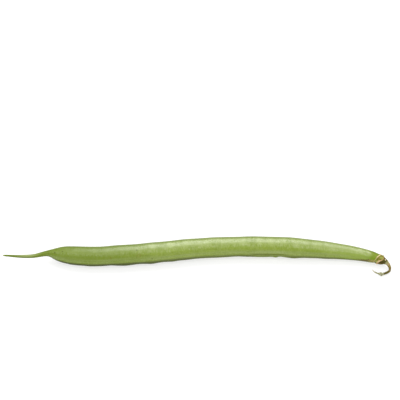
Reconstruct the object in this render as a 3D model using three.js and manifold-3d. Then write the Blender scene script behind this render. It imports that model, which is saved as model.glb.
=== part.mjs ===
// One green bean: a snap bean pod lying on its flank, with its beak at -X and its dried stalk at +X.
// Millimetres, +Z up, resting on z = 0. The seams run along the pod's +Y and -Y sides, and its
// bow is level. Three solids follow one spine: the pod, the calyx and the stalk.

import * as THREE from "three";
import { mergeVertices } from "three/addons/utils/BufferGeometryUtils.js";
import Module from "manifold-3d";

const wasm = await Module();
wasm.setup();

// ---------------------------------------------------------------- driving dimensions

// Centre line from the beak's tip, through pod and calyx, round the curl of the stalk.
const SPINE_POINTS = [
  [-85.4, -3.1, 3.9],
  [-78.0, -3.6, 3.5],
  [-71.5, -3.3, 3.6],
  [-65.5, -1.9, 3.9],
  [-60.0, -2.7, 4.15],
  [-47.0, -4.0, 4.15],
  [-33.0, -3.5, 4.5],
  [-18.0, -2.05, 4.6],
  [-3.0, 0.1, 4.5],
  [12.0, 1.4, 4.34],
  [27.0, 1.6, 4.48],
  [40.0, 1.15, 4.48],
  [55.0, 0.25, 3.78],
  [66.0, -1.0, 3.42],
  [74.0, -2.6, 3.1],
  [79.0, -4.05, 2.85],
  [81.0, -5.05, 2.65],
  [83.0, -5.8, 2.4],
  [84.3, -6.9, 1.85],
  [84.7, -8.3, 1.3],
  [84.1, -9.7, 0.95],
  [82.6, -10.9, 0.85],
  [80.9, -11.7, 0.92],
  [79.2, -11.1, 0.85],
  [78.0, -10.1, 0.85],
  [76.9, -9.1, 1.05],
];

// Half thickness of the pod at distances along the spine from the beak's tip.
const GREATEST_RADIUS = 4.42;
const POD_OUTLINE = [
  [0.0, 0.0],
  [0.3, 0.22],
  [3.2, 0.27],
  [7.4, 0.42],
  [11.5, 0.7],
  [16.6, 0.85],
  [19.6, 1.15],
  [21.6, 1.75],
  [23.8, 2.65],
  [26.4, 3.4],
  [30.5, 3.95],
  [38.0, 4.17],
  [55.0, 4.36],
  [75.0, GREATEST_RADIUS],
  [100.0, 4.36],
  [122.0, 4.36],
  [130.0, 4.3],
  [137.0, 4.0],
  [146.0, 3.48],
  [154.0, 2.97],
  [160.0, 2.52],
  [164.0, 2.1],
  [165.2, 1.85],
  [165.7, 1.35],
  [165.9, 0.0],
];
const POD_SIDES = 32;
const POD_STATIONS_PER_SPAN = 5;

// The section is a little wider from seam to seam than from flank to flank.
const SEAM_TO_SEAM = 1.04;
const FLANK_TO_FLANK = 0.97;

// Each seam is a low rib between two shallow grooves.
const SEAM_HEIGHT = 0.16;
const SEAM_HALF_ANGLE = 0.13;
const SEAM_CROWDING = 0.3;

// The seeds push the flanks out at these distances from the beak's tip.
const SEED_PLACES = [36.5, 51.5, 66.5, 80.0, 95.0, 110.5, 127.5, 141.5];
const SEED_SWELLING = 0.05;
const SEED_HALF_LENGTH = 4.6;

// The dried calyx is a lobed collar with a rim and a second ring behind it. Distances are from its rim.
const CALYX_OUTLINE = [
  [0.0, 1.75],
  [0.35, 1.98],
  [0.9, 1.7],
  [1.5, 1.78],
  [2.2, 1.4],
  [2.9, 1.15],
];
const CALYX_SIDES = 30;
const CALYX_STATIONS_PER_SPAN = 3;
const CALYX_LOBES = 5;
const CALYX_LOBE_DEPTH = 0.12;
const CALYX_LEAN = 0.35;

// The stalk has a swollen root, a knob where it broke off, and one torn fibre past the knob.
// Distances are from its root.
const STALK_OUTLINE = [
  [0.0, 1.1],
  [0.7, 0.95],
  [1.7, 0.53],
  [5.0, 0.48],
  [7.8, 0.48],
  [9.2, 0.75],
  [10.3, 0.35],
  [13.8, 0.2],
  [14.1, 0.1],
];
const STALK_SIDES = 12;
const STALK_STATIONS_PER_SPAN = 5;
const KNOB_PLACE = 9.2;
const KNOB_HALF_LENGTH = 1.2;
const KNOB_LUMP_HEIGHT = 0.14;
const KNOB_LUMPS_ROUND = 3;
const KNOB_LUMP_TWIST = 2.5;

// What grew together is parted by this much, so that each piece is a solid of its own.
const JOINT_GAP = 0.3;

const FLOOR_BLOCK = [200, 60, 4];

// ---------------------------------------------------------------- spine

const spine = new THREE.CatmullRomCurve3(SPINE_POINTS.map((point) => new THREE.Vector3(...point)));
spine.arcLengthDivisions = 3000;
const spineLength = spine.getLength();

// The spine's place at a distance from the beak's tip, with its level and upright directions.
function frameAt(distance) {
  const share = distance / spineLength;
  const centre = spine.getPointAt(share);
  const along = spine.getTangentAt(share);
  const level = new THREE.Vector3(0, 0, 1).cross(along).normalize();
  const upright = along.clone().cross(level);
  return { centre, level, upright };
}

// Turns an outline of (distance, radius) into a closed body, then bends it along the spine.
// The sculpt function gives each vertex its distance and its level and upright offsets.
function bendAlongSpine(outline, sides, sculpt) {
  const turned = new THREE.LatheGeometry(
    outline.map(([distance, radius]) => new THREE.Vector2(radius, distance)),
    sides,
  );
  turned.deleteAttribute("normal");
  turned.deleteAttribute("uv");
  const geometry = mergeVertices(turned);
  const positions = geometry.getAttribute("position");
  const vertex = new THREE.Vector3();
  for (let i = 0; i < positions.count; i += 1) {
    vertex.fromBufferAttribute(positions, i);
    const shaped = sculpt(vertex.y, Math.atan2(vertex.x, vertex.z), Math.hypot(vertex.x, vertex.z));
    const frame = frameAt(shaped.distance);
    vertex.copy(frame.centre);
    vertex.addScaledVector(frame.level, shaped.level);
    vertex.addScaledVector(frame.upright, shaped.upright);
    positions.setXYZ(i, vertex.x, vertex.y, vertex.z);
  }
  return geometry;
}

// A smooth outline through a few (distance, radius) points, however unevenly they are spaced.
function smoothOutline(points, stationsPerSpan) {
  const corners = points.map(([distance, radius]) => new THREE.Vector3(distance, radius, 0));
  const curve = new THREE.CatmullRomCurve3(corners);
  const stations = curve.getPoints(stationsPerSpan * (points.length - 1));
  return stations.map((station) => [station.x, Math.max(station.y, 0)]);
}

// ---------------------------------------------------------------- solids

function toSolid(geometry) {
  return new wasm.Manifold(new wasm.Mesh({
    numProp: 3,
    vertProperties: new Float32Array(geometry.getAttribute("position").array),
    triVerts: new Uint32Array(geometry.getIndex().array),
  }));
}

function toGeometry(solid) {
  const mesh = solid.getMesh();
  const geometry = new THREE.BufferGeometry();
  geometry.setAttribute("position", new THREE.BufferAttribute(mesh.vertProperties, 3));
  geometry.setIndex(new THREE.BufferAttribute(mesh.triVerts, 1));
  geometry.computeVertexNormals();
  return geometry;
}

function restOnFloor(geometry) {
  const floor = new THREE.BoxGeometry(...FLOOR_BLOCK);
  floor.translate(0, 0, -FLOOR_BLOCK[2] / 2);
  floor.deleteAttribute("normal");
  floor.deleteAttribute("uv");
  return toGeometry(toSolid(geometry).subtract(toSolid(mergeVertices(floor))));
}

// ---------------------------------------------------------------- pod

function seedSwelling(distance) {
  const bulges = SEED_PLACES.map((place) => Math.exp(-(((distance - place) / SEED_HALF_LENGTH) ** 2)));
  return SEED_SWELLING * Math.max(...bulges);
}

function seamRelief(angle) {
  const fromSeam = Math.abs(Math.asin(Math.sin(angle))) / SEAM_HALF_ANGLE;
  const rib = Math.exp(-(fromSeam ** 2));
  const groove = Math.exp(-((fromSeam - 2) ** 2));
  return SEAM_HEIGHT * (rib - groove / 2);
}

function sculptPod(distance, turn, radius) {
  const angle = turn - SEAM_CROWDING * Math.sin(2 * turn);
  const flank = Math.sin(angle) ** 2;
  const girth = radius / GREATEST_RADIUS;
  const swollen = radius * (1 + seedSwelling(distance) * (0.35 + 0.65 * flank));
  const reach = swollen + seamRelief(angle) * girth;
  return {
    distance,
    level: reach * SEAM_TO_SEAM * Math.cos(angle),
    upright: reach * FLANK_TO_FLANK * Math.sin(angle),
  };
}

function makePod() {
  const outline = smoothOutline(POD_OUTLINE, POD_STATIONS_PER_SPAN);
  return restOnFloor(bendAlongSpine(outline, POD_SIDES, sculptPod));
}

// ---------------------------------------------------------------- calyx and stalk

const podLength = POD_OUTLINE.at(-1)[0];
const calyxLength = CALYX_OUTLINE.at(-1)[0];
const calyxStart = podLength + JOINT_GAP;
const stalkStart = calyxStart + calyxLength + JOINT_GAP;

// A smooth outline that starts at a distance along the spine and is closed by a flat disc at each end.
function closedOutline(points, start, stationsPerSpan) {
  const wall = smoothOutline(points, stationsPerSpan);
  const end = points.at(-1)[0];
  return [[0, 0], ...wall, [end, 0]].map(([distance, radius]) => [start + distance, radius]);
}

function roundOffsets(distance, turn, reach) {
  return { distance, level: reach * Math.cos(turn), upright: reach * Math.sin(turn) };
}

function sculptCalyx(distance, turn, radius) {
  if (radius === 0) {
    return roundOffsets(distance, turn, 0);
  }
  const middleness = Math.sin((Math.PI * (distance - calyxStart)) / calyxLength);
  const lobe = CALYX_LOBE_DEPTH * middleness * Math.cos(CALYX_LOBES * turn);
  const lean = CALYX_LEAN * middleness * Math.sin(turn);
  return roundOffsets(distance + lean, turn, radius + lobe);
}

function sculptStalk(distance, turn, radius) {
  if (radius === 0) {
    return roundOffsets(distance, turn, 0);
  }
  const fromKnob = (distance - stalkStart - KNOB_PLACE) / KNOB_HALF_LENGTH;
  const lumps = Math.sin(KNOB_LUMPS_ROUND * turn + KNOB_LUMP_TWIST * distance);
  return roundOffsets(distance, turn, radius + KNOB_LUMP_HEIGHT * Math.exp(-(fromKnob ** 2)) * lumps);
}

function makeCalyx() {
  const outline = closedOutline(CALYX_OUTLINE, calyxStart, CALYX_STATIONS_PER_SPAN);
  return bendAlongSpine(outline, CALYX_SIDES, sculptCalyx);
}

function makeStalk() {
  const outline = closedOutline(STALK_OUTLINE, stalkStart, STALK_STATIONS_PER_SPAN);
  return bendAlongSpine(outline, STALK_SIDES, sculptStalk);
}

// ---------------------------------------------------------------- the bean

const group = new THREE.Group();

function addPiece(name, geometry, color, roughness) {
  const mesh = new THREE.Mesh(geometry, new THREE.MeshStandardMaterial({ color, roughness, metalness: 0 }));
  mesh.name = name;
  group.add(mesh);
}

addPiece("pod", makePod(), 0x91a84c, 0.45);
addPiece("calyx", makeCalyx(), 0xc9ad7a, 0.8);
addPiece("stalk", makeStalk(), 0x7f6f35, 0.85);

// The origin is the middle of the bean's box, on the surface it lies on.
const middle = new THREE.Box3().setFromObject(group).getCenter(new THREE.Vector3());
group.position.set(-middle.x, -middle.y, 0);

export default group;
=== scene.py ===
"""A green bean lying on its flank: a pod with its beak, its dried calyx and its curled stalk."""

import math

import bmesh
import bpy
from mathutils import Matrix, Vector, noise


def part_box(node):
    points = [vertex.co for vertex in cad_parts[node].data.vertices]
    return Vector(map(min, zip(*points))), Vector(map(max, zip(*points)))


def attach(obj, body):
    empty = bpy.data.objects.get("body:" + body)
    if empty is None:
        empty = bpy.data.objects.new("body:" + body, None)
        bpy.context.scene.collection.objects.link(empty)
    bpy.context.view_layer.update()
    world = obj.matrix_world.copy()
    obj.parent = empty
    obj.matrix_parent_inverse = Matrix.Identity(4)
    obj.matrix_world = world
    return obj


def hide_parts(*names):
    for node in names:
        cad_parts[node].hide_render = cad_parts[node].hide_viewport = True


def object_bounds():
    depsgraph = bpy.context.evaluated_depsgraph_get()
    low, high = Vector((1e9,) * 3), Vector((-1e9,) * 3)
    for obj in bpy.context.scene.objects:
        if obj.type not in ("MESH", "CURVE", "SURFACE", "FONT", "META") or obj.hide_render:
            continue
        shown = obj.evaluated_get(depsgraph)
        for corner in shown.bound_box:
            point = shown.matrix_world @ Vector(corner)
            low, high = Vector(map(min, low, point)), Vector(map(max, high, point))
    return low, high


MM = 0.001

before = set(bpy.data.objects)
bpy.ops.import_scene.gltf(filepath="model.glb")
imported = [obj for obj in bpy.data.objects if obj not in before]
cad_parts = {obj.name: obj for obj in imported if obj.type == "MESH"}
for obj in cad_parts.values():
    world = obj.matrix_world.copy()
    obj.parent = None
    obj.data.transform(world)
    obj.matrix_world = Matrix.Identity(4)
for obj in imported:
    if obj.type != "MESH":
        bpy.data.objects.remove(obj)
cad_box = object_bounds()


# ------------------------------------------------------------------ camera

PICTURE_WIDTH = 400
PICTURE_CENTRE = PICTURE_WIDTH / 2
BEAN_PIXEL_X = 196.6
BEAN_PIXEL_Y = 254.3
MM_PER_PIXEL = 0.439
CAMERA_ELEVATION = math.radians(45)
LENS = 100
SENSOR = 36
NEAR_CLIP_SHARE = 0.05
FAR_CLIP = 20


def make_camera():
    """A long lens that looks down at the bean, which lies below the middle of the picture."""
    data = bpy.data.cameras.new("camera")
    data.lens = LENS
    data.sensor_width = SENSOR
    camera = bpy.data.objects.new("camera", data)
    bpy.context.scene.collection.objects.link(camera)
    bpy.context.scene.camera = camera
    back = Vector((0, -math.cos(CAMERA_ELEVATION), math.sin(CAMERA_ELEVATION)))
    up = Vector((0, math.sin(CAMERA_ELEVATION), math.cos(CAMERA_ELEVATION)))
    middle = (cad_box[0] + cad_box[1]) / 2
    pixel = MM_PER_PIXEL * MM
    depth = PICTURE_WIDTH * pixel * LENS / SENSOR
    right_shift = (PICTURE_CENTRE - BEAN_PIXEL_X) * pixel
    up_shift = (BEAN_PIXEL_Y - PICTURE_CENTRE) * pixel
    camera.location = middle + back * depth + up * up_shift + Vector((right_shift, 0, 0))
    camera.rotation_euler = (math.pi / 2 - CAMERA_ELEVATION, 0, 0)
    data.clip_start = depth * NEAR_CLIP_SHARE
    data.clip_end = FAR_CLIP


# ------------------------------------------------------------------ light

LIGHT_DISTANCE = 0.9
# Each soft box: bearing from the back and elevation in degrees, width and height in metres, radiance.
SOFT_BOXES = {
    "overhead_softbox": (0, 54, 0.9, 0.75, 3.7),
    "left_softbox": (235, 38, 0.7, 0.9, 2.3),
    "right_softbox": (125, 38, 0.7, 0.9, 2.3),
}
SKY_COLOUR = (1, 1, 1, 1)
SKY_STRENGTH = 0.45


def make_soft_box(name, bearing, elevation, width, height, radiance):
    """A soft box that faces the bean and isn't seen itself."""
    data = bpy.data.lights.new(name, "AREA")
    data.shape = "RECTANGLE"
    data.size = width
    data.size_y = height
    data.energy = radiance * math.pi * width * height
    light = bpy.data.objects.new(name, data)
    bpy.context.scene.collection.objects.link(light)
    bearing, elevation = math.radians(bearing), math.radians(elevation)
    level = math.cos(elevation)
    towards = Vector((level * math.sin(bearing), level * math.cos(bearing), math.sin(elevation)))
    light.location = towards * LIGHT_DISTANCE
    light.rotation_euler = (-towards).to_track_quat("-Z", "Y").to_euler()
    light.visible_camera = False


def make_lights():
    for name, settings in SOFT_BOXES.items():
        make_soft_box(name, *settings)
    world = bpy.data.worlds.new("studio")
    bpy.context.scene.world = world
    world.use_nodes = True
    sky = world.node_tree.nodes["Background"]
    sky.inputs["Color"].default_value = SKY_COLOUR
    sky.inputs["Strength"].default_value = SKY_STRENGTH
    bpy.context.scene.view_settings.view_transform = "Standard"


# ------------------------------------------------------------------ shader maths

class Value:
    """A number or colour on a shader socket. Arithmetic on it adds Math nodes."""

    def __init__(self, finish, socket):
        self.finish = finish
        self.socket = socket

    def maths(self, operation, *operands):
        return self.finish.node("ShaderNodeMath", {"operation": operation}, dict(enumerate(operands)))

    def __add__(self, other):
        return self.maths("ADD", self, other)

    __radd__ = __add__

    def __sub__(self, other):
        return self.maths("SUBTRACT", self, other)

    def __rsub__(self, other):
        return self.maths("SUBTRACT", other, self)

    def __mul__(self, other):
        return self.maths("MULTIPLY", self, other)

    __rmul__ = __mul__

    def __truediv__(self, other):
        return self.maths("DIVIDE", self, other)

    def __rtruediv__(self, other):
        return self.maths("DIVIDE", other, self)

    def __abs__(self):
        return self.maths("ABSOLUTE", self)

    def rise(self, low, high):
        """0 below low, 1 above high and smooth between. With high under low it falls instead."""
        if low > high:
            return 1 - self.rise(high, low)
        return self.finish.node(
            "ShaderNodeMapRange",
            {"interpolation_type": "SMOOTHSTEP"},
            {"Value": self, "From Min": low, "From Max": high},
        )

    def bump_at(self, centre, half_width):
        """1 at the centre, falling smoothly to 0 half a width away on each side."""
        return (abs(self - centre) / half_width).rise(1, 0)


# A Mix node's colour sockets, which share their names with its sockets for numbers.
MIX_SHARE = 0
MIX_FIRST = 6
MIX_SECOND = 7
MIX_RESULT = 2


class Finish:
    """One procedural material, and the ways its nodes are added."""

    def __init__(self, name):
        self.material = bpy.data.materials.new(name)
        self.material.use_nodes = True
        self.tree = self.material.node_tree
        self.shader = self.tree.nodes["Principled BSDF"]

    def node(self, kind, settings=None, inputs=None, output=0):
        made = self.tree.nodes.new(kind)
        for key, setting in (settings or {}).items():
            setattr(made, key, setting)
        for key, given in (inputs or {}).items():
            self.feed(made.inputs[key], given)
        return Value(self, made.outputs[output])

    def feed(self, socket, given):
        if isinstance(given, Value):
            self.tree.links.new(given.socket, socket)
        elif socket.type == "RGBA":
            socket.default_value = (*given, 1)
        else:
            socket.default_value = given

    def attribute(self, name):
        return self.node("ShaderNodeAttribute", {"attribute_name": name}, output="Vector")

    def part(self, vector, axis):
        return self.node("ShaderNodeSeparateXYZ", inputs={0: vector}, output=axis)

    def noise(self, vector, scale, detail=3, roughness=0.55):
        inputs = {"Vector": vector, "Scale": scale, "Detail": detail, "Roughness": roughness}
        return self.node("ShaderNodeTexNoise", inputs=inputs)

    def stretched_noise(self, vector, along, across):
        """Noise with one scale along the piece and another round it."""
        scale = (along, across, across)
        stretched = self.node("ShaderNodeVectorMath", {"operation": "MULTIPLY"}, {0: vector, 1: scale})
        return self.noise(stretched, 1)

    def cell_distance(self, vector, scale):
        inputs = {"Vector": vector, "Scale": scale}
        return self.node("ShaderNodeTexVoronoi", inputs=inputs, output="Distance")

    def mix(self, share, first, second):
        """A colour between two colours."""
        inputs = {MIX_SHARE: share, MIX_FIRST: first, MIX_SECOND: second}
        return self.node("ShaderNodeMix", {"data_type": "RGBA"}, inputs, MIX_RESULT)

    def layered(self, colour, layers):
        """The colour with tints laid over it in turn, each as strong as its mask times its share."""
        for mask, share, tint in layers:
            colour = self.mix(mask * share, colour, tint)
        return colour

    def distance_from(self, place, vector):
        inputs = {0: vector, 1: place}
        return self.node("ShaderNodeVectorMath", {"operation": "DISTANCE"}, inputs, "Value")

    def bump(self, height):
        """A normal from a height in metres."""
        return self.node("ShaderNodeBump", inputs={"Height": height, "Distance": 1.0, "Strength": 1.0})

    def worn(self, colour, roughness, height=None, coat=0, constants=None):
        """The material, once its shader is fed. The constants are the same all over the surface."""
        self.feed(self.shader.inputs["Base Color"], colour)
        self.feed(self.shader.inputs["Roughness"], roughness)
        self.feed(self.shader.inputs["Coat Weight"], coat)
        if height is not None:
            self.feed(self.shader.inputs["Normal"], self.bump(height))
        for name, number in (constants or {}).items():
            self.shader.inputs[name].default_value = number
        return self.material


# ------------------------------------------------------------------ shape of the bean

# Centre line from the beak's tip, through pod and calyx, round the curl of the stalk, in millimetres.
SPINE_POINTS = [
    (-85.4, -3.1, 3.9),
    (-82.0, -3.3, 3.8),
    (-78.0, -3.5, 3.7),
    (-74.7, -3.5, 3.7),
    (-71.5, -3.2, 3.66),
    (-65.5, -1.9, 3.9),
    (-60.0, -2.7, 4.15),
    (-47.0, -4.0, 4.15),
    (-33.0, -3.5, 4.5),
    (-18.0, -2.05, 4.6),
    (-3.0, 0.1, 4.5),
    (12.0, 1.4, 4.34),
    (27.0, 1.6, 4.48),
    (40.0, 1.15, 4.48),
    (55.0, 0.28, 3.82),
    (66.0, -0.93, 3.52),
    (74.0, -2.5, 3.31),
    (79.0, -3.9, 3.05),
    (81.0, -4.85, 2.8),
    (82.8, -5.65, 2.5),
    (83.95, -6.75, 1.97),
    (84.5, -8.1, 1.4),
    (84.15, -9.6, 1.0),
    (82.6, -10.75, 0.88),
    (80.7, -11.45, 0.95),
    (79.0, -10.95, 0.85),
    (77.8, -10.2, 0.85),
    (76.6, -8.95, 1.05),
]
SPINE_STEPS = 60

# Half thickness of the pod at distances along the spine from the beak's tip, in millimetres.
GREATEST_RADIUS = 4.42
POD_OUTLINE = [
    (0.0, 0.0),
    (0.25, 0.24),
    (1.2, 0.36),
    (3.2, 0.45),
    (7.5, 0.64),
    (11.5, 0.77),
    (16.6, 0.98),
    (19.6, 1.26),
    (21.6, 1.8),
    (23.8, 2.65),
    (26.4, 3.4),
    (30.5, 3.95),
    (38.0, 4.17),
    (55.0, 4.36),
    (75.0, GREATEST_RADIUS),
    (100.0, 4.36),
    (122.0, 4.36),
    (130.0, 4.3),
    (137.0, 4.03),
    (146.0, 3.56),
    (154.0, 3.12),
    (160.0, 2.72),
    (164.0, 2.31),
    (165.2, 2.08),
    (166.3, 1.9),
    (166.8, 1.4),
    (166.9, 0.0),
]
POD_LENGTH = 165.9
SEAM_TO_SEAM = 1.04
FLANK_TO_FLANK = 0.97
SEAM_HEIGHT = 0.16
SEAM_HALF_ANGLE = 0.13
SEAM_CROWDING = 0.3
SEED_PLACES = (36.5, 51.5, 66.5, 80.0, 95.0, 110.5, 127.5, 141.5)
SEED_SWELLING = 0.05
SEED_SWELLING_AT_SEAM = 0.35
SEED_HALF_LENGTH = 4.6


def centripetal_curve(points, steps):
    """A smooth chain through the points: a centripetal Catmull-Rom curve, steps to a span."""
    points = [Vector(point) for point in points]
    ends = [2 * points[0] - points[1], *points, 2 * points[-1] - points[-2]]
    chain = []
    for before, start, end, after in zip(ends, ends[1:], ends[2:], ends[3:]):
        gaps = (start - before, end - start, after - end)
        first, span, last = (gap.length ** 0.5 for gap in gaps)
        leave = (start - before) / first - (end - before) / (first + span) + (end - start) / span
        arrive = (end - start) / span - (after - start) / (span + last) + (after - end) / last
        for step in range(steps):
            t = step / steps
            chain.append(
                start * (2 * t**3 - 3 * t**2 + 1)
                + leave * span * (t**3 - 2 * t**2 + t)
                + end * (3 * t**2 - 2 * t**3)
                + arrive * span * (t**3 - t**2)
            )
    return [*chain, points[-1]]


class Spine:
    """The bean's centre line, read by the distance from the beak's tip."""

    def __init__(self, points):
        self.chain = centripetal_curve(points, SPINE_STEPS)
        self.marks = [0.0]
        for a, b in zip(self.chain, self.chain[1:]):
            self.marks.append(self.marks[-1] + (b - a).length)

    def frame_at(self, distance):
        """Place, level direction and upright direction. It runs on straight past both ends."""
        low, high = 0, len(self.marks) - 2
        while low < high:
            middle = (low + high + 1) // 2
            if self.marks[middle] <= distance:
                low = middle
            else:
                high = middle - 1
        start, end = self.chain[low], self.chain[low + 1]
        share = (distance - self.marks[low]) / (self.marks[low + 1] - self.marks[low])
        before, after = self.chain[max(low - 1, 0)], self.chain[min(low + 2, len(self.chain) - 1)]
        along = (end - before).normalized().lerp((after - start).normalized(), share).normalized()
        level = Vector((0, 0, 1)).cross(along).normalized()
        return start.lerp(end, share), level, along.cross(level)


def turned_body(outline, sides):
    """A closed body turned round the X axis.

    Its outline is a list of (distance, radius) points, of which the first and the last lie on the axis.
    """
    body = bmesh.new()
    turns = [2 * math.pi * side / sides for side in range(sides)]
    rings = [
        [body.verts.new((distance, radius * math.cos(turn), radius * math.sin(turn))) for turn in turns]
        for distance, radius in outline[1:-1]
    ]
    first_end, last_end = (body.verts.new((distance, 0, 0)) for distance, _ in (outline[0], outline[-1]))
    for side in range(sides):
        body.faces.new((first_end, rings[0][side], rings[0][side - 1]))
        body.faces.new((last_end, rings[-1][side - 1], rings[-1][side]))
        for ring, following in zip(rings, rings[1:]):
            body.faces.new((ring[side - 1], ring[side], following[side], following[side - 1]))
    return body


def smooth_outline(points, steps):
    """A smooth outline through (distance, radius) points, with the radius never under 0."""
    chain = centripetal_curve([(distance, radius, 0) for distance, radius in points], steps)
    return [(spot.x, max(spot.y, 0)) for spot in chain]


def evenly_spaced(outline, step):
    """The same outline with its stations a step apart."""
    spaced = [outline[0]]
    carried = 0.0
    for (x0, r0), (x1, r1) in zip(outline, outline[1:]):
        length = math.hypot(x1 - x0, r1 - r0)
        while length > 0 and carried + length >= step:
            share = (step - carried) / length
            x0, r0 = x0 + (x1 - x0) * share, r0 + (r1 - r0) * share
            spaced.append((x0, r0))
            length = math.hypot(x1 - x0, r1 - r0)
            carried = 0.0
        carried += length
    return [*spaced, outline[-1]]


def bell(value, centre, half_width):
    return math.exp(-(((value - centre) / half_width) ** 2))


def smooth_rise(value, low, high):
    share = min(max((value - low) / (high - low), 0), 1)
    return share * share * (3 - 2 * share)


def roughness_at(distance, level, upright, along_waves, round_waves, offset=0):
    """Smooth noise from about -1 to 1. More waves make finer lumps, another offset other ones."""
    return noise.noise((distance * along_waves, level * round_waves, upright * round_waves + offset))


def bend_along_spine(body, spine, sculpt):
    """Sculpts a turned body and bends it along the spine.

    Its finish reads two attributes: the unbent places, and the marks that the sculpt function gives.
    """
    unbent = body.verts.layers.float_vector.new("unbent")
    marks = body.verts.layers.float_vector.new("marks")
    for vertex in body.verts:
        radius = math.hypot(vertex.co.y, vertex.co.z)
        turn = math.atan2(vertex.co.z, vertex.co.y)
        distance, level, upright, vertex[marks] = sculpt(vertex.co.x, turn, radius)
        centre, level_way, upright_way = spine.frame_at(distance)
        vertex[unbent] = (distance, level, upright)
        vertex.co = (centre + level_way * level + upright_way * upright) * MM
        # Nothing reaches below the table.
        vertex.co.z = max(vertex.co.z, 0)


def finished_piece(name, body, material):
    """A smooth shaded object made from the body, which it frees."""
    mesh = bpy.data.meshes.new(name)
    body.to_mesh(mesh)
    body.free()
    mesh.materials.append(material)
    mesh.polygons.foreach_set("use_smooth", [True] * len(mesh.polygons))
    piece = bpy.data.objects.new(name, mesh)
    bpy.context.scene.collection.objects.link(piece)
    return piece


# ------------------------------------------------------------------ pod

POD_STEP = 0.27
POD_SIDES = 120
POD_OUTLINE_STEPS = 12
SEAM_UNEVENNESS = 0.5
SEAM_WAVES = 0.35
# Noise on the skin: its height in millimetres, then its waves along and round the pod and its offset.
DENT_RELIEF = 0.05
DENT_WAVES = (0.22, 0.9)
WRINKLE_RELIEF = 0.03
WRINKLE_WAVES = (1.3, 1.6, 20)
# Swellings and hollows of the front's lower edge: distance, height and half length, in millimetres.
RIPPLES = (
    (36.0, -0.17, 3.0),
    (47.5, -0.18, 2.2),
    (54.5, 0.26, 3.2),
    (65.5, 0.24, 2.4),
    (74.5, 0.22, 2.2),
    (103.5, -0.12, 3.0),
    (115.5, 0.18, 3.6),
    (121.1, 0.34, 1.15),
    (122.5, -0.2, 1.8),
    (129.0, 0.24, 2.6),
    (140.0, -0.15, 2.5),
    (164.5, 0.36, 3.7),
)
RIPPLE_BEARING = math.radians(225)
RIPPLE_BREADTH = 0.5


def seed_swelling(distance, upright):
    """How much the nearest seed widens the pod: most on the flanks, least at the seams."""
    nearest = max(bell(distance, place, SEED_HALF_LENGTH) for place in SEED_PLACES)
    flank_share = SEED_SWELLING_AT_SEAM + (1 - SEED_SWELLING_AT_SEAM) * upright**2
    return SEED_SWELLING * nearest * flank_share


def seam_relief(angle, distance):
    """A low ridge with a groove on each side, of slightly uneven height."""
    from_seam = abs(math.asin(math.sin(angle))) / SEAM_HALF_ANGLE
    unevenness = noise.noise((distance * SEAM_WAVES, 0, math.cos(angle)))
    ridge, groove = bell(from_seam, 0, 1), bell(from_seam, 2, 1)
    return SEAM_HEIGHT * (1 + SEAM_UNEVENNESS * unevenness) * (ridge - groove / 2)


def ripple_relief(angle, distance):
    """Uneven swelling of the flank that the pod rests on."""
    breadth = math.exp((math.cos(angle - RIPPLE_BEARING) - 1) / RIPPLE_BREADTH**2)
    return breadth * sum(height * bell(distance, place, half) for place, height, half in RIPPLES)


def skin_relief(distance, level, upright):
    """Shallow dents, and fine wrinkles that run round the pod."""
    dents = roughness_at(distance, level, upright, *DENT_WAVES)
    wrinkles = roughness_at(distance, level, upright, *WRINKLE_WAVES)
    return DENT_RELIEF * dents + WRINKLE_RELIEF * wrinkles


def sculpt_pod(distance, turn, radius):
    """A pod with seams and seeds.

    The marks are the height above the front seam and how far the skin faces the front.
    """
    # The sides are narrowest at the seams, where the relief is finest.
    angle = turn - SEAM_CROWDING * math.sin(2 * turn)
    level, upright = math.cos(angle), math.sin(angle)
    relief = seam_relief(angle, distance) + ripple_relief(angle, distance)
    relief += skin_relief(distance, level, upright)
    reach = radius * (1 + seed_swelling(distance, upright) + relief / GREATEST_RADIUS)
    marks = (upright, -level, 0)
    return distance, reach * SEAM_TO_SEAM * level, reach * FLANK_TO_FLANK * upright, marks


SKIN_GREEN = (0.165, 0.228, 0.02)
SKIN_LIGHT = (0.202, 0.27, 0.032)
SKIN_DEEP = (0.11, 0.16, 0.01)
SKIN_PAINTED_LIGHT = (0.23, 0.305, 0.032)
SKIN_BLOOM_AND_HIGHLIGHT = (0.38, 0.43, 0.2)
SEAM_PALE = (0.285, 0.335, 0.14)
SEAM_OLIVE_AND_SHADE = (0.085, 0.105, 0.008)
STEM_YELLOW = (0.196, 0.275, 0.026)
STEM_DEEP = (0.145, 0.22, 0.014)
STEM_SHADE_OLIVE = (0.13, 0.172, 0.01)
UNDERSIDE_SHADE_DEEP = (0.04, 0.055, 0.004)
SEAM_BROWN = (0.1, 0.075, 0.02)
SEAM_TAN = (0.27, 0.24, 0.07)
BEAK_OLIVE = (0.102, 0.146, 0.003)
BEAK_TIP = (0.3, 0.31, 0.16)
SPECK_DARK = (0.05, 0.055, 0.012)
SPECK_BROWN = (0.15, 0.135, 0.02)
# Each speck: its unbent place and its radius in millimetres, its tint and how strong it is.
SPECKS = (
    ((59.5, -1.4, 4.07), 0.6, SPECK_DARK, 0.85),
    ((59.2, -3.9, 2.0), 0.55, SPECK_DARK, 0.7),
    ((65.8, -4.46, 1.02), 0.6, SPECK_DARK, 0.85),
    ((48.1, -3.64, 2.55), 0.8, SPECK_BROWN, 0.6),
    ((23.8, -1.4, 2.21), 0.65, SPECK_DARK, 0.7),
    ((27.1, -1.12, 3.26), 0.6, SPECK_DARK, 0.7),
    ((98.0, 3.4, 2.3), 0.5, SPECK_DARK, 0.6),
    ((121.0, 1.0, 4.2), 0.45, SPECK_BROWN, 0.5),
)
RING_PLACE = (60.3, -3.5, 2.77)
RING_RADIUS = 0.85
RING_HALF_WIDTH = 0.3
RING_STRENGTH = 0.65
SPECK_RAGGEDNESS = 0.3

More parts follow.
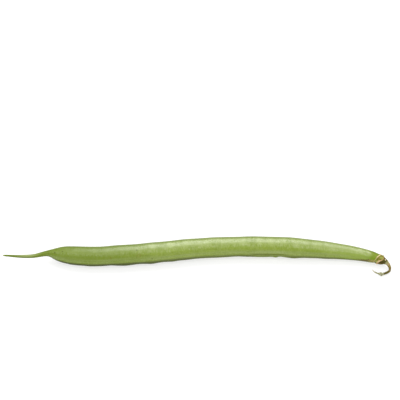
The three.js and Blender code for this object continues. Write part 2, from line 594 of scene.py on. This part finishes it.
# Patterns of the skin: waves a millimetre along the pod and round it, or the same in all directions.
CLOUD_WAVES = (0.25, 0.2)
FIBRE_WAVES = (0.07, 2.0)
CREASE_WAVES = (1.5, 0.7)
BAND_WAVES = (0.4, 0.2)
GLINT_PATCH_WAVES = (0.5, 0.9)
GRAIN_WAVES = 1.7
SPECKLE_WAVES = 2.6
PORE_WAVES = 1.5

# Where the front seam stands a little open, in millimetres from the beak's tip.
OPEN_SEAM_PLACE = 118
OPEN_SEAM_HALF_LENGTH = 11
SKIN_BUMP = 0.01 * MM
SKIN_CONSTANTS = {"Specular IOR Level": 0.08, "Coat Roughness": 0.3, "Coat IOR": 1.7}


class PodSkin(Finish):
    """Green skin under a thin coat of wax.

    Its masks read the distance from the beak's tip in millimetres, the height above the front seam,
    which is 1 along the pod's top and -1 below, and how far the skin faces the front, which is -1
    at the back seam.
    """

    def __init__(self):
        super().__init__("waxy_pod_skin")
        self.unbent = self.attribute("unbent")
        marks = self.attribute("marks")
        self.distance = self.part(self.unbent, 0)
        self.above_seam = self.part(marks, 0)
        self.facing = self.part(marks, 1)
        self.front = self.facing.rise(0.3, 0.7)
        self.back = self.facing.rise(-0.3, -0.7)
        self.beside_calyx = self.distance.rise(164, 161)

        self.clouds = self.stretched_noise(self.unbent, *CLOUD_WAVES)
        self.fibres = self.stretched_noise(self.unbent, *FIBRE_WAVES)
        self.creases = self.stretched_noise(self.unbent, *CREASE_WAVES)
        self.grain = self.noise(self.unbent, GRAIN_WAVES, detail=2, roughness=0.7)
        self.speckle = self.noise(self.unbent, SPECKLE_WAVES, detail=1)
        self.pores = self.cell_distance(self.unbent, PORE_WAVES).rise(0.32, 0.1)
        self.ragged_height = self.above_seam + (self.creases - 0.5) * 0.4
        self.upper = self.ragged_height.rise(0.65, 0.98)

    def flesh(self):
        """Mottled, fibrous green, with painted highlight above and a deeper green towards the beak,
        partly painted shadow.
        """
        green = self.mix(self.clouds.rise(0.35, 0.65), SKIN_GREEN, SKIN_LIGHT)
        bands = self.stretched_noise(self.unbent, *BAND_WAVES)
        upper, lower = self.upper, 1 - self.upper
        # A pale line along the top of the pod, painted as sheen.
        painted_sheen_line = self.ragged_height.bump_at(0.91, 0.14) * self.facing.rise(0.05, 0.3)
        return self.layered(green, (
            # Painted light: the upper flanks, half way between the crest and the seams, a little lighter
            # green.
            (self.above_seam.bump_at(0.72, 0.38), 0.3, SKIN_PAINTED_LIGHT),
            (self.fibres.rise(0.5, 0.7), 0.05 + lower * 0.3, SKIN_DEEP),
            (self.grain.rise(0.5, 0.25), 0.45, SKIN_DEEP),
            (self.speckle.rise(0.5, 0.25), lower * 0.4, SKIN_DEEP),
            (self.speckle.rise(0.5, 0.75), lower * 0.06, SKIN_BLOOM_AND_HIGHLIGHT),
            (self.creases.rise(0.5, 0.3), lower * 0.16, SKIN_DEEP),
            # Whitish wax: thin all over, and laid on thickly on the upper side as a mottled painted
            # highlight.
            (self.creases.rise(0.48, 0.7), 0.05 + upper * 0.23, SKIN_BLOOM_AND_HIGHLIGHT),
            (self.grain.rise(0.5, 0.8), 0.02 + upper * 0.42, SKIN_BLOOM_AND_HIGHLIGHT),
            (self.pores, 0.02 + upper * 0.3, SKIN_BLOOM_AND_HIGHLIGHT),
            (self.clouds.rise(0.3, 0.6), upper * 0.15, SKIN_BLOOM_AND_HIGHLIGHT),
            (bands.rise(0.45, 0.7) * self.above_seam.rise(0.7, 0.95), 0.2, SKIN_BLOOM_AND_HIGHLIGHT),
            (bands.rise(0.5, 0.3), 0.14, SKIN_DEEP),
            # Deeper green towards the beak: partly the pod's own tone, partly painted shadow.
            (self.distance.rise(78, 42), 0.68, SKIN_DEEP),
            # Painted sheen: a pale line along the top of the pod.
            (painted_sheen_line, 0.12, SKIN_BLOOM_AND_HIGHLIGHT),
        ))

    def front_seam(self, colour):
        """A pale strip and a groove above the seam, olive under it, partly as painted shade, and a
        stretch that stands open.
        """
        front, above_seam = self.front, self.above_seam
        open_seam = self.distance.bump_at(OPEN_SEAM_PLACE, OPEN_SEAM_HALF_LENGTH).rise(0, 0.5) * front
        strip = front * above_seam.bump_at(0.25, 0.48) * self.fibres.rise(0.2, 0.6)
        groove = front * above_seam.bump_at(0.3, 0.12) * self.fibres.rise(0.6, 0.4)
        flecked = front * above_seam.bump_at(0.15, 0.55)
        return self.layered(colour, (
            # Olive under the front seam: partly the seam's own colour, partly painted shade of the
            # underside. The lower edge is painted darker still, as shade.
            (front * above_seam.rise(0.12, -0.08), 0.7 - open_seam * 0.4, SEAM_OLIVE_AND_SHADE),
            (above_seam.rise(-0.2, -0.45), 0.6 - open_seam * 0.35, SEAM_OLIVE_AND_SHADE),
            (strip, 0.46, SEAM_PALE),
            (groove, 0.12 + self.distance.rise(75, 115) * 0.28, SKIN_DEEP),
            (open_seam * above_seam.bump_at(0.28, 0.26), 0.14, SKIN_BLOOM_AND_HIGHLIGHT),
            (open_seam * above_seam.bump_at(0.03, 0.14), 0.9, SEAM_OLIVE_AND_SHADE),
            (flecked * self.speckle.rise(0.5, 0.3), 0.3, SKIN_DEEP),
            (flecked * self.speckle.rise(0.5, 0.7), 0.3, SEAM_PALE),
            # Painted shade: the underside darker towards the beak.
            (above_seam.rise(0.1, -0.25) * self.distance.rise(105, 45), 0.85, UNDERSIDE_SHADE_DEEP),
        ))

    def back_seam(self, colour):
        """Painted shade, a deeper green, down to the back seam, which is pale with an olive line under
        it.
        """
        back, above_seam = self.back, self.above_seam
        ridge = back * above_seam.bump_at(0.02, 0.09) * self.fibres.rise(0.25, 0.6)
        under_ridge = back * above_seam.bump_at(-0.12, 0.08) * self.fibres.rise(0.7, 0.4)
        return self.layered(colour, (
            # Painted shade: a deeper green on the upper back flank, towards the back seam.
            (self.facing.bump_at(-0.52, 0.36) * above_seam.rise(0, 0.4), 0.75, SKIN_DEEP),
            (ridge, 0.6, SEAM_PALE),
            (under_ridge, 0.5, SEAM_OLIVE_AND_SHADE),
        ))

    def stem_end(self, colour):
        """Yellower green that deepens beside the calyx, with painted shade by the collar, on top and at
        the edges, and a painted highlight and painted glints on top.
        """
        distance, above_seam = self.distance, self.above_seam
        upper, beside_calyx = self.upper, self.beside_calyx
        # Painted highlight on top near the stem, and pale painted glints.
        stem_painted_highlight = distance.rise(134, 152) * above_seam.rise(0.62, 0.88) * beside_calyx
        low_stem_painted_highlight = distance.rise(135, 150) * self.ragged_height.bump_at(0.45, 0.6) * beside_calyx
        glint_patches = self.stretched_noise(self.unbent, *GLINT_PATCH_WAVES).rise(0.45, 0.6)
        glint_patches *= self.facing.rise(-0.35, -0.1) * distance.rise(152, 160) * upper * beside_calyx
        return self.layered(colour, (
            (distance.rise(142, 160), 0.75, STEM_YELLOW),
            (distance.rise(158, 164) * above_seam.rise(0.85, 0.6), 0.8, STEM_DEEP),
            # Painted shade: the far edge, the skin by the collar and the top darker near the stem.
            (distance.rise(145, 158) * self.facing.rise(0.05, -0.25), 0.8, STEM_SHADE_OLIVE),
            (distance.rise(161, 163.5) * above_seam.rise(0.3, 0.8), 0.35, STEM_SHADE_OLIVE),
            (distance.rise(128, 150) * upper, 0.28, STEM_SHADE_OLIVE),
            (stem_painted_highlight, 0.2, SKIN_BLOOM_AND_HIGHLIGHT),
            (low_stem_painted_highlight, 0.12, SKIN_BLOOM_AND_HIGHLIGHT),
            # Painted shade: the lower edge darker near the stem.
            (distance.rise(132, 150) * above_seam.rise(-0.05, -0.3), 0.6, SEAM_OLIVE_AND_SHADE),
            (glint_patches, 0.75, SKIN_BLOOM_AND_HIGHLIGHT),
        ))

    def streak(self, colour):
        """A dried brown streak along the front seam, which ends in tan at the calyx."""
        height = self.above_seam + self.grain * 0.3 - self.distance.rise(160, 162.5) * 0.16
        across = height.rise(0.32, 0.16) * height.rise(-0.6, -0.2) * self.facing.rise(0.1, 0.4)
        along = (self.distance + self.fibres * 5).rise(158, 162.5)
        tan_share = self.distance.rise(161.5, 163) * self.grain.rise(0.3, 0.5)
        return self.mix(across * along * 0.9, colour, self.mix(tan_share, SEAM_BROWN, SEAM_TAN))

    def beak(self, colour):
        """Olive, with a painted highlight along its upper side and a pale dry tip."""
        return self.layered(colour, (
            (self.distance.rise(24, 14), 0.85, BEAK_OLIVE),
            # Painted highlight along the beak's upper side.
            (self.distance.bump_at(11, 8) * self.above_seam.rise(0.2, 0.9), 0.48, SKIN_BLOOM_AND_HIGHLIGHT),
            (self.distance.rise(1.4, 0.2), 0.8, BEAK_TIP),
        ))

    def specks(self, colour):
        """A few small dark specks and one brown ring."""
        raggedness = self.grain * SPECK_RAGGEDNESS
        for place, size, tint, strength in SPECKS:
            away = self.distance_from(place, self.unbent) + raggedness
            colour = self.mix(away.rise(size, size * 0.4) * strength, colour, tint)
        from_ring = self.distance_from(RING_PLACE, self.unbent) + raggedness
        ring = from_ring.bump_at(RING_RADIUS, RING_HALF_WIDTH)
        return self.mix(ring * RING_STRENGTH, colour, SPECK_BROWN)

    def wax(self):
        """How smooth the wax is, and its coat, thin on the beak, by the calyx, low and far back."""
        smoothness = (self.grain * 0.9 + self.creases * 0.6 + self.clouds * 0.3).rise(0.45, 1.15)
        past_beak = 0.1 + self.distance.rise(14, 75) * 0.9
        before_calyx = 0.1 + self.beside_calyx * 0.9
        thinning = 1 - self.distance.rise(95, 150) * 0.22
        high_up = 0.12 + self.ragged_height.rise(0.4, 0.95) * 0.88
        far_edge = (self.facing - self.distance.rise(145, 158) * 0.25).bump_at(-0.62, 0.45)
        left = past_beak * before_calyx * thinning * high_up * (1 - far_edge * 0.9)
        return smoothness, (0.4 + smoothness * 0.6) * left


def pod_skin():
    skin = PodSkin()
    colour = skin.flesh()
    for layer in (skin.front_seam, skin.back_seam, skin.stem_end, skin.streak, skin.beak, skin.specks):
        colour = layer(colour)
    smoothness, coat = skin.wax()
    height = (skin.grain * 3 + skin.creases * 4 + skin.fibres * 1.5 + skin.pores) * SKIN_BUMP
    return skin.worn(colour, 0.55 - smoothness * 0.1, height, coat, SKIN_CONSTANTS)


def make_pod(spine):
    outline = evenly_spaced(smooth_outline(POD_OUTLINE, POD_OUTLINE_STEPS), POD_STEP)
    body = turned_body(outline, POD_SIDES)
    bend_along_spine(body, spine, sculpt_pod)
    return finished_piece("pod_flesh", body, pod_skin())


# ------------------------------------------------------------------ calyx

JOINT_GAP = 0.3
CALYX_START = POD_LENGTH + JOINT_GAP
CALYX_LENGTH = 2.9
CALYX_SIDES = 200
CALYX_OUTLINE_STEPS = 12
# Half thickness of the collar at places along it from its start. Both ends reach into the neighbours.
CALYX_OUTLINE = [
    (-1.4, 0.0),
    (-1.3, 1.2),
    (-1.05, 1.85),
    (-0.7, 2.05),
    (0.0, 1.97),
    (0.7, 1.94),
    (1.4, 1.78),
    (1.8, 1.62),
    (2.3, 1.48),
    (2.9, 1.3),
    (3.2, 1.15),
    (3.3, 0.0),
]
# The two rims of the collar, in millimetres along it. They are slanted and wave a little.
FIRST_RIM = -0.7
SECOND_RIM = 1.2
RIM_HALF_WIDTH = 0.24
RIM_HEIGHT = 0.2
RIM_SLANT = 1.0
SLANT_BEARING = math.radians(45)
SLANT_FADE_POWER = 3
SCALLOPS = 5
SCALLOP_DEPTH = 0.16
SCALLOP_START = 1
SECOND_SCALLOP_SHARE = 0.6
# The green lumps between the rims.
LUMPS_ROUND = 5
LUMP_HEIGHT = 0.28
LUMP_PLACE = 0.5
LUMP_HALF_LENGTH = 0.65
LUMP_BEARING = math.radians(106)
LUMP_POWER = 0.7
# The lobe of the second rim that reaches towards the stalk.
LOBE_LENGTH = 0.8
LOBE_BEARING = math.radians(117)
LOBE_HALF_ANGLE = math.radians(27)
LOBE_HALF_LENGTH = 1.2
# The belly on the lower front side.
BELLY_HEIGHT = 0.6
BELLY_PLACE = 1.3
BELLY_HALF_LENGTH = 1.2
BELLY_BEARING = math.radians(225)
# The folded neck past the second rim.
NECK_RISE = 0.5
FOLDS_ROUND = 7
FOLD_HEIGHT = 0.16
FOLD_TWIST = 1.7
FOLD_WANDER = 2
# How far from the first rim the collar still lies over the pod.
COLLAR_OVERLAP = 0.5
COLLAR_COARSE_RELIEF = 0.08
COLLAR_COARSE_WAVES = (1.2, 2.2)
COLLAR_FINE_RELIEF = 0.05
COLLAR_FINE_WAVES = (4, 7, 9)


def pod_radius(distance):
    """The pod's half thickness near its stem end."""
    for (start, start_radius), (end, end_radius) in zip(POD_OUTLINE, POD_OUTLINE[1:]):
        if start <= distance < end:
            return start_radius + (end_radius - start_radius) * (distance - start) / (end - start)
    return 0.0


def facing_bearing(turn, bearing):
    """1 at the bearing, falling to 0 a quarter turn away."""
    return max(math.cos(turn - bearing), 0)


def sculpt_calyx(distance, turn, radius):
    """A slanted, scalloped collar of two rims with lumps between them, and a folded neck.

    The marks are the place along the unslanted collar, the lumps and the crests of the folds. Near the
    axis the relief fades out, so that the caps at both ends stay smooth.
    """
    along = distance - CALYX_START
    level, upright = math.cos(turn), math.sin(turn)
    near_axis = min(radius, 1)
    coarse = roughness_at(along, level, upright, *COLLAR_COARSE_WAVES)
    fine = roughness_at(along, level, upright, *COLLAR_FINE_WAVES)

    first_rim = bell(along, FIRST_RIM, RIM_HALF_WIDTH) * (1 + coarse)
    second_rim = bell(along, SECOND_RIM, RIM_HALF_WIDTH) * (1 + coarse)
    lump = max(math.cos(LUMPS_ROUND * (turn - LUMP_BEARING)), 0) ** LUMP_POWER
    lump *= bell(along, LUMP_PLACE, LUMP_HALF_LENGTH)
    neck = smooth_rise(along, SECOND_RIM, SECOND_RIM + NECK_RISE)
    fold = math.sin(FOLDS_ROUND * turn + FOLD_TWIST * along + FOLD_WANDER * coarse)

    slant_left = 1 - smooth_rise(along, FIRST_RIM, CALYX_LENGTH) ** SLANT_FADE_POWER
    slant = RIM_SLANT * slant_left * math.cos(turn - SLANT_BEARING)
    scallop = SCALLOP_DEPTH * math.sin(SCALLOPS * turn + SCALLOP_START)
    scallop *= first_rim + SECOND_SCALLOP_SHARE * second_rim
    from_lobe = math.remainder(turn - LOBE_BEARING, 2 * math.pi)
    lobe = LOBE_LENGTH * bell(from_lobe, 0, LOBE_HALF_ANGLE) * bell(along, SECOND_RIM, LOBE_HALF_LENGTH)
    shifted = distance + (slant + scallop + lobe) * near_axis

    over_pod = bell(along, FIRST_RIM, COLLAR_OVERLAP) * max(pod_radius(shifted) - radius, 0)
    belly = BELLY_HEIGHT * bell(along, BELLY_PLACE, BELLY_HALF_LENGTH)
    belly *= facing_bearing(turn, BELLY_BEARING)
    reach = radius + over_pod + belly + RIM_HEIGHT * (first_rim + second_rim)
    reach += LUMP_HEIGHT * lump + FOLD_HEIGHT * neck * fold
    reach += COLLAR_COARSE_RELIEF * coarse + COLLAR_FINE_RELIEF * fine
    reach *= near_axis

    marks = (along, lump, neck * (1 + fold) / 2)
    return shifted, reach * level, reach * upright, marks


RIM_TAN = (0.56, 0.43, 0.21)
RIM_PINK = (0.46, 0.29, 0.16)
RIM_CREAM = (0.66, 0.55, 0.3)
RIM_OCHRE = (0.37, 0.32, 0.12)
RIM_BROWN = (0.29, 0.2, 0.06)
LUMP_GREEN = (0.27, 0.33, 0.07)
LUMP_OCHRE = (0.22, 0.18, 0.02)
HOLLOW_OLIVE = (0.12, 0.12, 0.006)
NECK_BROWN = (0.12, 0.07, 0.012)
NECK_DARK = (0.05, 0.038, 0.002)
NECK_OLIVE = (0.085, 0.1, 0.01)

# Patterns of both dried pieces: waves a millimetre, in all directions or along the piece and round it.
DRY_GRAIN_WAVES = 5
HUSK_MOTTLE_WAVES = 1.3
HUSK_FIBRE_WAVES = (0.6, 3.5)
HUSK_GRAIN_BUMP = 0.06 * MM
HUSK_FIBRE_BUMP = 0.08 * MM
DRY_CONSTANTS = {"Specular IOR Level": 0.15}


def dried_husk():
    """Olive with green lumps between two pale rims, then a brown folded neck, with painted shade below
    and in the folds.
    """
    finish = Finish("dried_calyx_husk")
    unbent = finish.attribute("unbent")
    marks = finish.attribute("marks")
    along, lump, fold = (finish.part(marks, axis) for axis in range(3))
    level, upright = finish.part(unbent, 1), finish.part(unbent, 2)
    mottle = finish.noise(unbent, HUSK_MOTTLE_WAVES)
    grain = finish.noise(unbent, DRY_GRAIN_WAVES)
    fibres = finish.stretched_noise(unbent, *HUSK_FIBRE_WAVES)
    neck = along.rise(SECOND_RIM + 0.1, SECOND_RIM + 0.3)
    front = level.rise(-0.9, -1.7)
    first_rim = along.bump_at(FIRST_RIM, 0.45).rise(0.25, 0.75)
    second_rim = along.bump_at(SECOND_RIM - 0.05, 0.5 + front * 0.15).rise(0.25, 0.75)

    neck_tint = finish.mix(mottle.rise(0.45, 0.6), NECK_BROWN, NECK_OLIVE)
    # Painted shade: the hollows between the folds are near black, the crests lighter.
    folded_tint = finish.mix(fold.rise(0.35, 0.8), NECK_DARK, neck_tint)
    first_tint = finish.mix(front, RIM_CREAM, RIM_OCHRE)
    second_front = finish.mix(mottle.rise(0.42, 0.58), RIM_TAN, RIM_PINK)
    second_tint = finish.mix(front, RIM_BROWN, second_front)
    colour = finish.layered(finish.mix(mottle.rise(0.42, 0.6), HOLLOW_OLIVE, LUMP_OCHRE), (
        (lump.rise(0.15, 0.6), 0.6 + mottle.rise(0.6, 0.4) * 0.4, LUMP_GREEN),
        # Painted shade: the lower side darker.
        (upright.rise(0.5, -0.5), 0.55, NECK_DARK),
        (neck, 1, folded_tint),
        (first_rim, 1, first_tint),
        (second_rim, 1, second_tint),
        (grain.rise(0.5, 0.75), 0.35 - neck * 0.27, RIM_TAN),
        (fibres.rise(0.5, 0.3), 0.4, NECK_DARK),
    ))
    height = grain * HUSK_GRAIN_BUMP + fibres * HUSK_FIBRE_BUMP
    return finish.worn(colour, 0.62 + grain * 0.2, height, constants=DRY_CONSTANTS)


def make_calyx(spine):
    outline = smooth_outline(CALYX_OUTLINE, CALYX_OUTLINE_STEPS)
    body = turned_body([(CALYX_START + along, radius) for along, radius in outline], CALYX_SIDES)
    bend_along_spine(body, spine, sculpt_calyx)
    return finished_piece("calyx_collar", body, dried_husk())


# ------------------------------------------------------------------ stalk

STALK_START = CALYX_START + CALYX_LENGTH + JOINT_GAP
STALK_SIDES = 72
STALK_OUTLINE_STEPS = 14
# Half thickness of the stalk at places along it from its start, out to the thin broken end.
STALK_OUTLINE = [
    (-0.6, 0.0),
    (-0.5, 1.05),
    (0.0, 1.12),
    (0.7, 0.96),
    (1.5, 0.8),
    (2.4, 0.68),
    (3.4, 0.57),
    (4.4, 0.49),
    (5.6, 0.47),
    (6.8, 0.46),
    (7.6, 0.45),
    (8.3, 0.5),
    (9.4, 0.71),
    (10.4, 0.52),
    (10.9, 0.3),
    (12.2, 0.27),
    (13.2, 0.24),
    (14.1, 0.12),
    (14.15, 0.0),
]
RIBS_ROUND = 5
RIB_HEIGHT = 0.13
RIB_TWIST = 0.9
RIB_WANDER = 1.5
STALK_ROUGHNESS = 0.2
STALK_WAVES = (0.9, 1.4)
KNOB_PLACE = 9.5
KNOB_HALF_LENGTH = 1.05
KNOB_LUMP_HEIGHT = 0.24
# Two sets of lumps on the knob: how many there are round it, how they twist along it, and their share.
KNOB_LUMPS = (
    (3, 2.5, 1.0),
    (2, -4.2, 0.7),
)


def sculpt_stalk(distance, turn, radius):
    """A ribbed, slightly twisted stalk with a lumpy knob. The marks say what is rib and what is knob."""
    along = distance - STALK_START
    level, upright = math.cos(turn), math.sin(turn)
    rough = roughness_at(along, level, upright, *STALK_WAVES)
    rib = math.sin(RIBS_ROUND * turn + RIB_TWIST * along + RIB_WANDER * rough)
    knob = bell(along, KNOB_PLACE, KNOB_HALF_LENGTH)
    lump = sum(share * math.sin(count * turn + twist * along) for count, twist, share in KNOB_LUMPS)
    reach = radius * (1 + RIB_HEIGHT * rib + STALK_ROUGHNESS * rough)
    reach += KNOB_LUMP_HEIGHT * knob * lump * min(radius, 1)
    marks = ((1 + rib) / 2, knob, 0)
    return distance, reach * level, reach * upright, marks


BARK_NECK = (0.06, 0.053, 0.006)
BARK_PALE = (0.36, 0.34, 0.15)
BARK_PINK = (0.36, 0.26, 0.13)
BARK_YELLOW = (0.25, 0.2, 0.05)
BARK_BROWN = (0.165, 0.115, 0.028)
BARK_OLIVE = (0.09, 0.071, 0.005)
KNOB_GREY = (0.4, 0.4, 0.25)
BARK_DARK = (0.045, 0.035, 0.006)
TWIG_OLIVE = (0.24, 0.235, 0.1)
TIP_PALE = (0.6, 0.55, 0.44)
# A pale spot at the stalk's root, painted as a glint.
GLINT_PALE = (0.75, 0.64, 0.42)
GLINT_PLACE = (STALK_START - 0.28, -0.22, 1.25)
GLINT_RADIUS = 0.42
GLINT_EDGE = 0.2
BARK_MOTTLE_WAVES = 1.2
BARK_FIBRE_WAVES = (0.5, 4.0)
BARK_GRAIN_BUMP = 0.04 * MM
BARK_FIBRE_BUMP = 0.08 * MM
# Where each colour of the bark starts and where it covers the last one, in millimetres along the stalk.
BARK_COLOURS = (
    (0.3, 1.0, BARK_PALE),
    (1.3, 2.0, BARK_PINK),
    (2.3, 3.0, BARK_YELLOW),
    (3.2, 4.2, BARK_BROWN),
    (4.8, 6.4, BARK_OLIVE),
    (8.0, 8.8, KNOB_GREY),
    (10.3, 10.8, TWIG_OLIVE),
    (12.2, 13.0, TIP_PALE),
)


def stalk_bark():
    """Bark that changes colour along the stalk, with painted shade between its ribs and a painted glint
    at its root.
    """
    finish = Finish("brown_stalk_bark")
    unbent = finish.attribute("unbent")
    marks = finish.attribute("marks")
    rib, knob = finish.part(marks, 0), finish.part(marks, 1)
    mottle = finish.noise(unbent, BARK_MOTTLE_WAVES)
    grain = finish.noise(unbent, DRY_GRAIN_WAVES)
    fibres = finish.stretched_noise(unbent, *BARK_FIBRE_WAVES)
    place = finish.part(unbent, 0) - STALK_START + (mottle - 0.5) * 1.2
    from_glint = finish.distance_from(GLINT_PLACE, unbent) + grain * GLINT_EDGE

    colour = BARK_NECK
    for start, end, tint in BARK_COLOURS:
        colour = finish.mix(place.rise(start, end), colour, tint)
    colour = finish.layered(colour, (
        (fibres.rise(0.5, 0.3), 0.6, BARK_DARK),
        # Painted shade in the furrows between the ribs.
        (rib.rise(0.4, 0.1), 0.45, BARK_DARK),
        (fibres.rise(0.55, 0.75), 0.4, BARK_PALE),
        (knob * mottle.rise(0.5, 0.35), 0.6, BARK_OLIVE),
        # Painted glint at the stalk's root.
        (from_glint.rise(GLINT_RADIUS + GLINT_EDGE, GLINT_RADIUS), 1, GLINT_PALE),
    ))
    height = grain * BARK_GRAIN_BUMP + fibres * BARK_FIBRE_BUMP
    return finish.worn(colour, 0.6 + grain * 0.2, height, constants=DRY_CONSTANTS)


def make_stalk(spine):
    outline = smooth_outline(STALK_OUTLINE, STALK_OUTLINE_STEPS)
    body = turned_body([(STALK_START + along, radius) for along, radius in outline], STALK_SIDES)
    bend_along_spine(body, spine, sculpt_stalk)
    return finished_piece("curled_stalk", body, stalk_bark())


# ------------------------------------------------------------------ floor

FLOOR_HALF_SIDE = 2
FLOOR_DARK = (0.37, 0.37, 0.37)
FLOOR_LIGHT = (0.39, 0.39, 0.39)
FLOOR_WAVES = 40
FLOOR_CONSTANTS = {"Emission Color": (1, 1, 1, 1), "Emission Strength": 0.62}


def white_table():
    """A matt white that glows a little, so that shadows on it stay light."""
    finish = Finish("white_floor")
    place = finish.node("ShaderNodeTexCoord", output="Object")
    colour = finish.mix(finish.noise(place, FLOOR_WAVES), FLOOR_DARK, FLOOR_LIGHT)
    return finish.worn(colour, 0.9, constants=FLOOR_CONSTANTS)


def make_floor():
    body = bmesh.new()
    bmesh.ops.create_grid(body, x_segments=1, y_segments=1, size=FLOOR_HALF_SIDE)
    finished_piece("floor", body, white_table())


# ------------------------------------------------------------------ the bean

def place_on_frame(pieces, pod):
    """Shifts the pieces so that the beak's tip and the middle of the pod's width match the CAD pod's."""
    low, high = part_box("pod")
    left = min(vertex.co.x for vertex in pod.data.vertices)
    depths = [vertex.co.y for vertex in pod.data.vertices]
    shift = Vector((low[0] - left, (low[1] + high[1] - min(depths) - max(depths)) / 2, 0))
    for piece in pieces:
        piece.data.transform(Matrix.Translation(shift))


make_camera()
make_lights()
make_floor()
spine = Spine(SPINE_POINTS)
pod = make_pod(spine)
calyx = make_calyx(spine)
stalk = make_stalk(spine)
place_on_frame((pod, calyx, stalk), pod)
for piece, node, slot in (
    (pod, "pod", "pod_skin"),
    (calyx, "calyx", "dried_calyx"),
    (stalk, "stalk", "stalk_bark"),
):
    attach(piece, "root")
    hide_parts(node)
